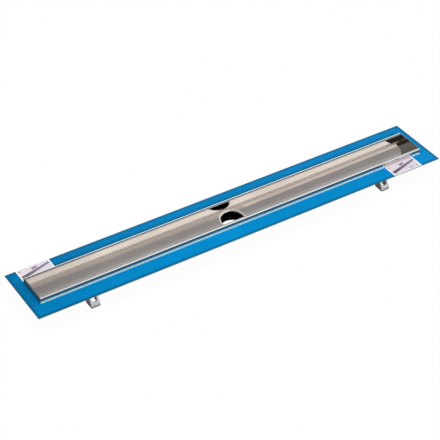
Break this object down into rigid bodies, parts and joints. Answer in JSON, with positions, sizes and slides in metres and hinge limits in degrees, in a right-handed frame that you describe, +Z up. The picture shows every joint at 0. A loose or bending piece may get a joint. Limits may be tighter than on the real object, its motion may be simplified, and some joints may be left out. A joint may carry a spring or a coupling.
{
  "type": "linear shower channel body",
  "caption": "Long stainless shower channel body: open trough with a raised folded rim and a round outlet, in a wide flange under blue film, on folded feet.",
  "frame": {"origin": "middle of the part on the surface that its feet stand on", "axes": "+X along the channel, -Y the front, +Z up"},
  "size_m": [1, 0.153, 0.0575],
  "materials": {
    "channel_steel": "bright rolled stainless sheet",
    "flange_steel": "bright rolled stainless sheet",
    "spigot_steel": "drawn stainless tube",
    "foot_steel": "folded stainless sheet",
    "film": "blue protective film",
    "label": "coated paper label"
  },
  "bodies": {
    "root": {"channel_profile": "channel_steel", "end_plate_left": "channel_steel", "end_plate_right": "channel_steel", "end_flange_left": "flange_steel", "end_flange_right": "flange_steel", "outlet_spigot": "spigot_steel", "film_back": "film", "film_front": "film", "film_left": "film", "film_right": "film", "label_back": "label", "label_front": "label", "foot_back_left": "foot_steel", "foot_front_left": "foot_steel", "foot_back_right": "foot_steel", "foot_front_right": "foot_steel"}
  },
  "joints": []
}
